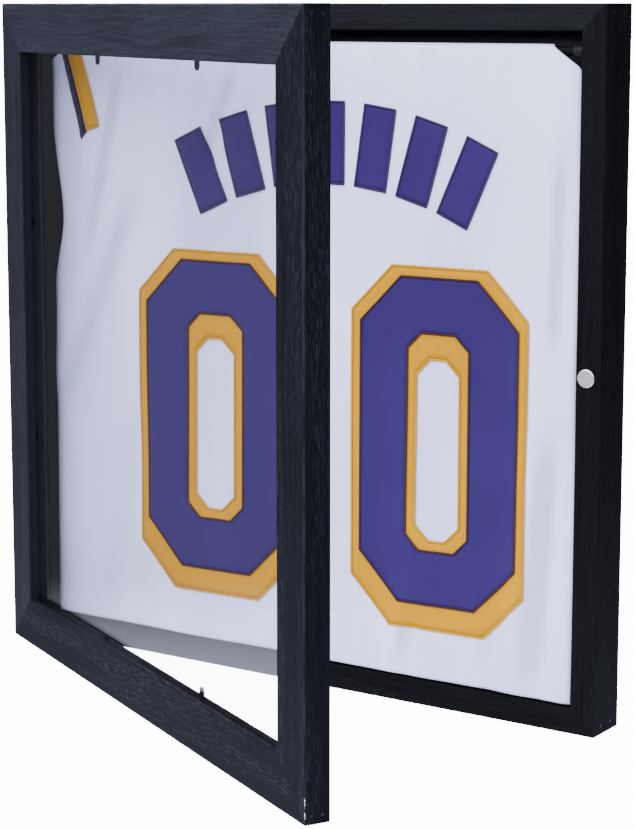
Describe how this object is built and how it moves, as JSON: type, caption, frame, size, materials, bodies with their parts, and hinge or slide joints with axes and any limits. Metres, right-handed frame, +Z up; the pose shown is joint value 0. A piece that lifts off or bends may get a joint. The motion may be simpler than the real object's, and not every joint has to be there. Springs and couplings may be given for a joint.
{
  "type": "jersey display frame",
  "caption": "Square wall-hung shadow box with a hinged glazed door, holding a folded sports jersey on a hanging rod.",
  "frame": {"origin": "the middle of the flat back, on the wall's plane", "axes": "+X to the viewer's right, +Y out of the back into the wall, +Z up; the door is hinged on the -X side and faces -Y when closed"},
  "size_m": [0.6107, 0.3478, 0.6],
  "materials": {
    "case_wood": "black stain on open-grain wood, satin",
    "door_wood": "black stain on open-grain wood, satin, with a blue-grey sheen",
    "hardboard": "pressed board, smooth side out",
    "liner_cloth": "black satin-faced cloth on board",
    "zinc_steel": "zinc plated",
    "nail_steel": "black touched-in nail heads",
    "nickel": "nickel plated, polished rim",
    "black_plastic": "moulded, fine grain",
    "rod_paint": "satin black enamel",
    "hinge_brass": "plated, lightly brushed",
    "white_knit": "smooth polyester knit",
    "gold_twill": "tackle twill, satin-stitched edge",
    "purple_twill": "tackle twill, satin-stitched edge",
    "clear_acrylic": "clear, polished",
    "point_paint": "black spring steel"
  },
  "bodies": {
    "case": {"case_left_stile": "case_wood", "case_right_stile": "case_wood", "case_top_rail": "case_wood", "case_bottom_rail": "case_wood", "back_panel": "hardboard", "liner_board": "liner_cloth", "panel_screws": "zinc_steel", "case_corner_nails": "nail_steel", "hanger_plate_left": "zinc_steel", "hanger_plate_right": "zinc_steel", "hanger_screws": "zinc_steel", "case_magnet": "nickel", "rod_socket_left": "black_plastic", "rod_socket_right": "black_plastic", "rod_socket_screws": "zinc_steel", "hanging_rod": "rod_paint", "upper_case_leaf": "hinge_brass", "lower_case_leaf": "hinge_brass", "upper_hinge_pin": "hinge_brass", "lower_hinge_pin": "hinge_brass", "case_hinge_screws": "hinge_brass", "jersey": "white_knit", "number_backing": "gold_twill", "number_face": "purple_twill", "name_blanks": "purple_twill", "armhole_trim": "gold_twill"},
    "door": {"door_left_stile": "door_wood", "door_right_stile": "door_wood", "door_top_rail": "door_wood", "door_bottom_rail": "door_wood", "door_glazing": "clear_acrylic", "glazing_points": "point_paint", "door_corner_nails": "nail_steel", "upper_door_leaf": "hinge_brass", "lower_door_leaf": "hinge_brass", "door_hinge_screws": "hinge_brass", "door_strike": "zinc_steel", "strike_screw": "zinc_steel"}
  },
  "joints": [
    {"name": "door_swing", "type": "hinge", "parent": "case", "child": "door", "pos_m": [-0.3028, -0.0445, 0], "axis": [0, 0, -1], "range_deg": [-28.1, 151.9]}
  ]
}
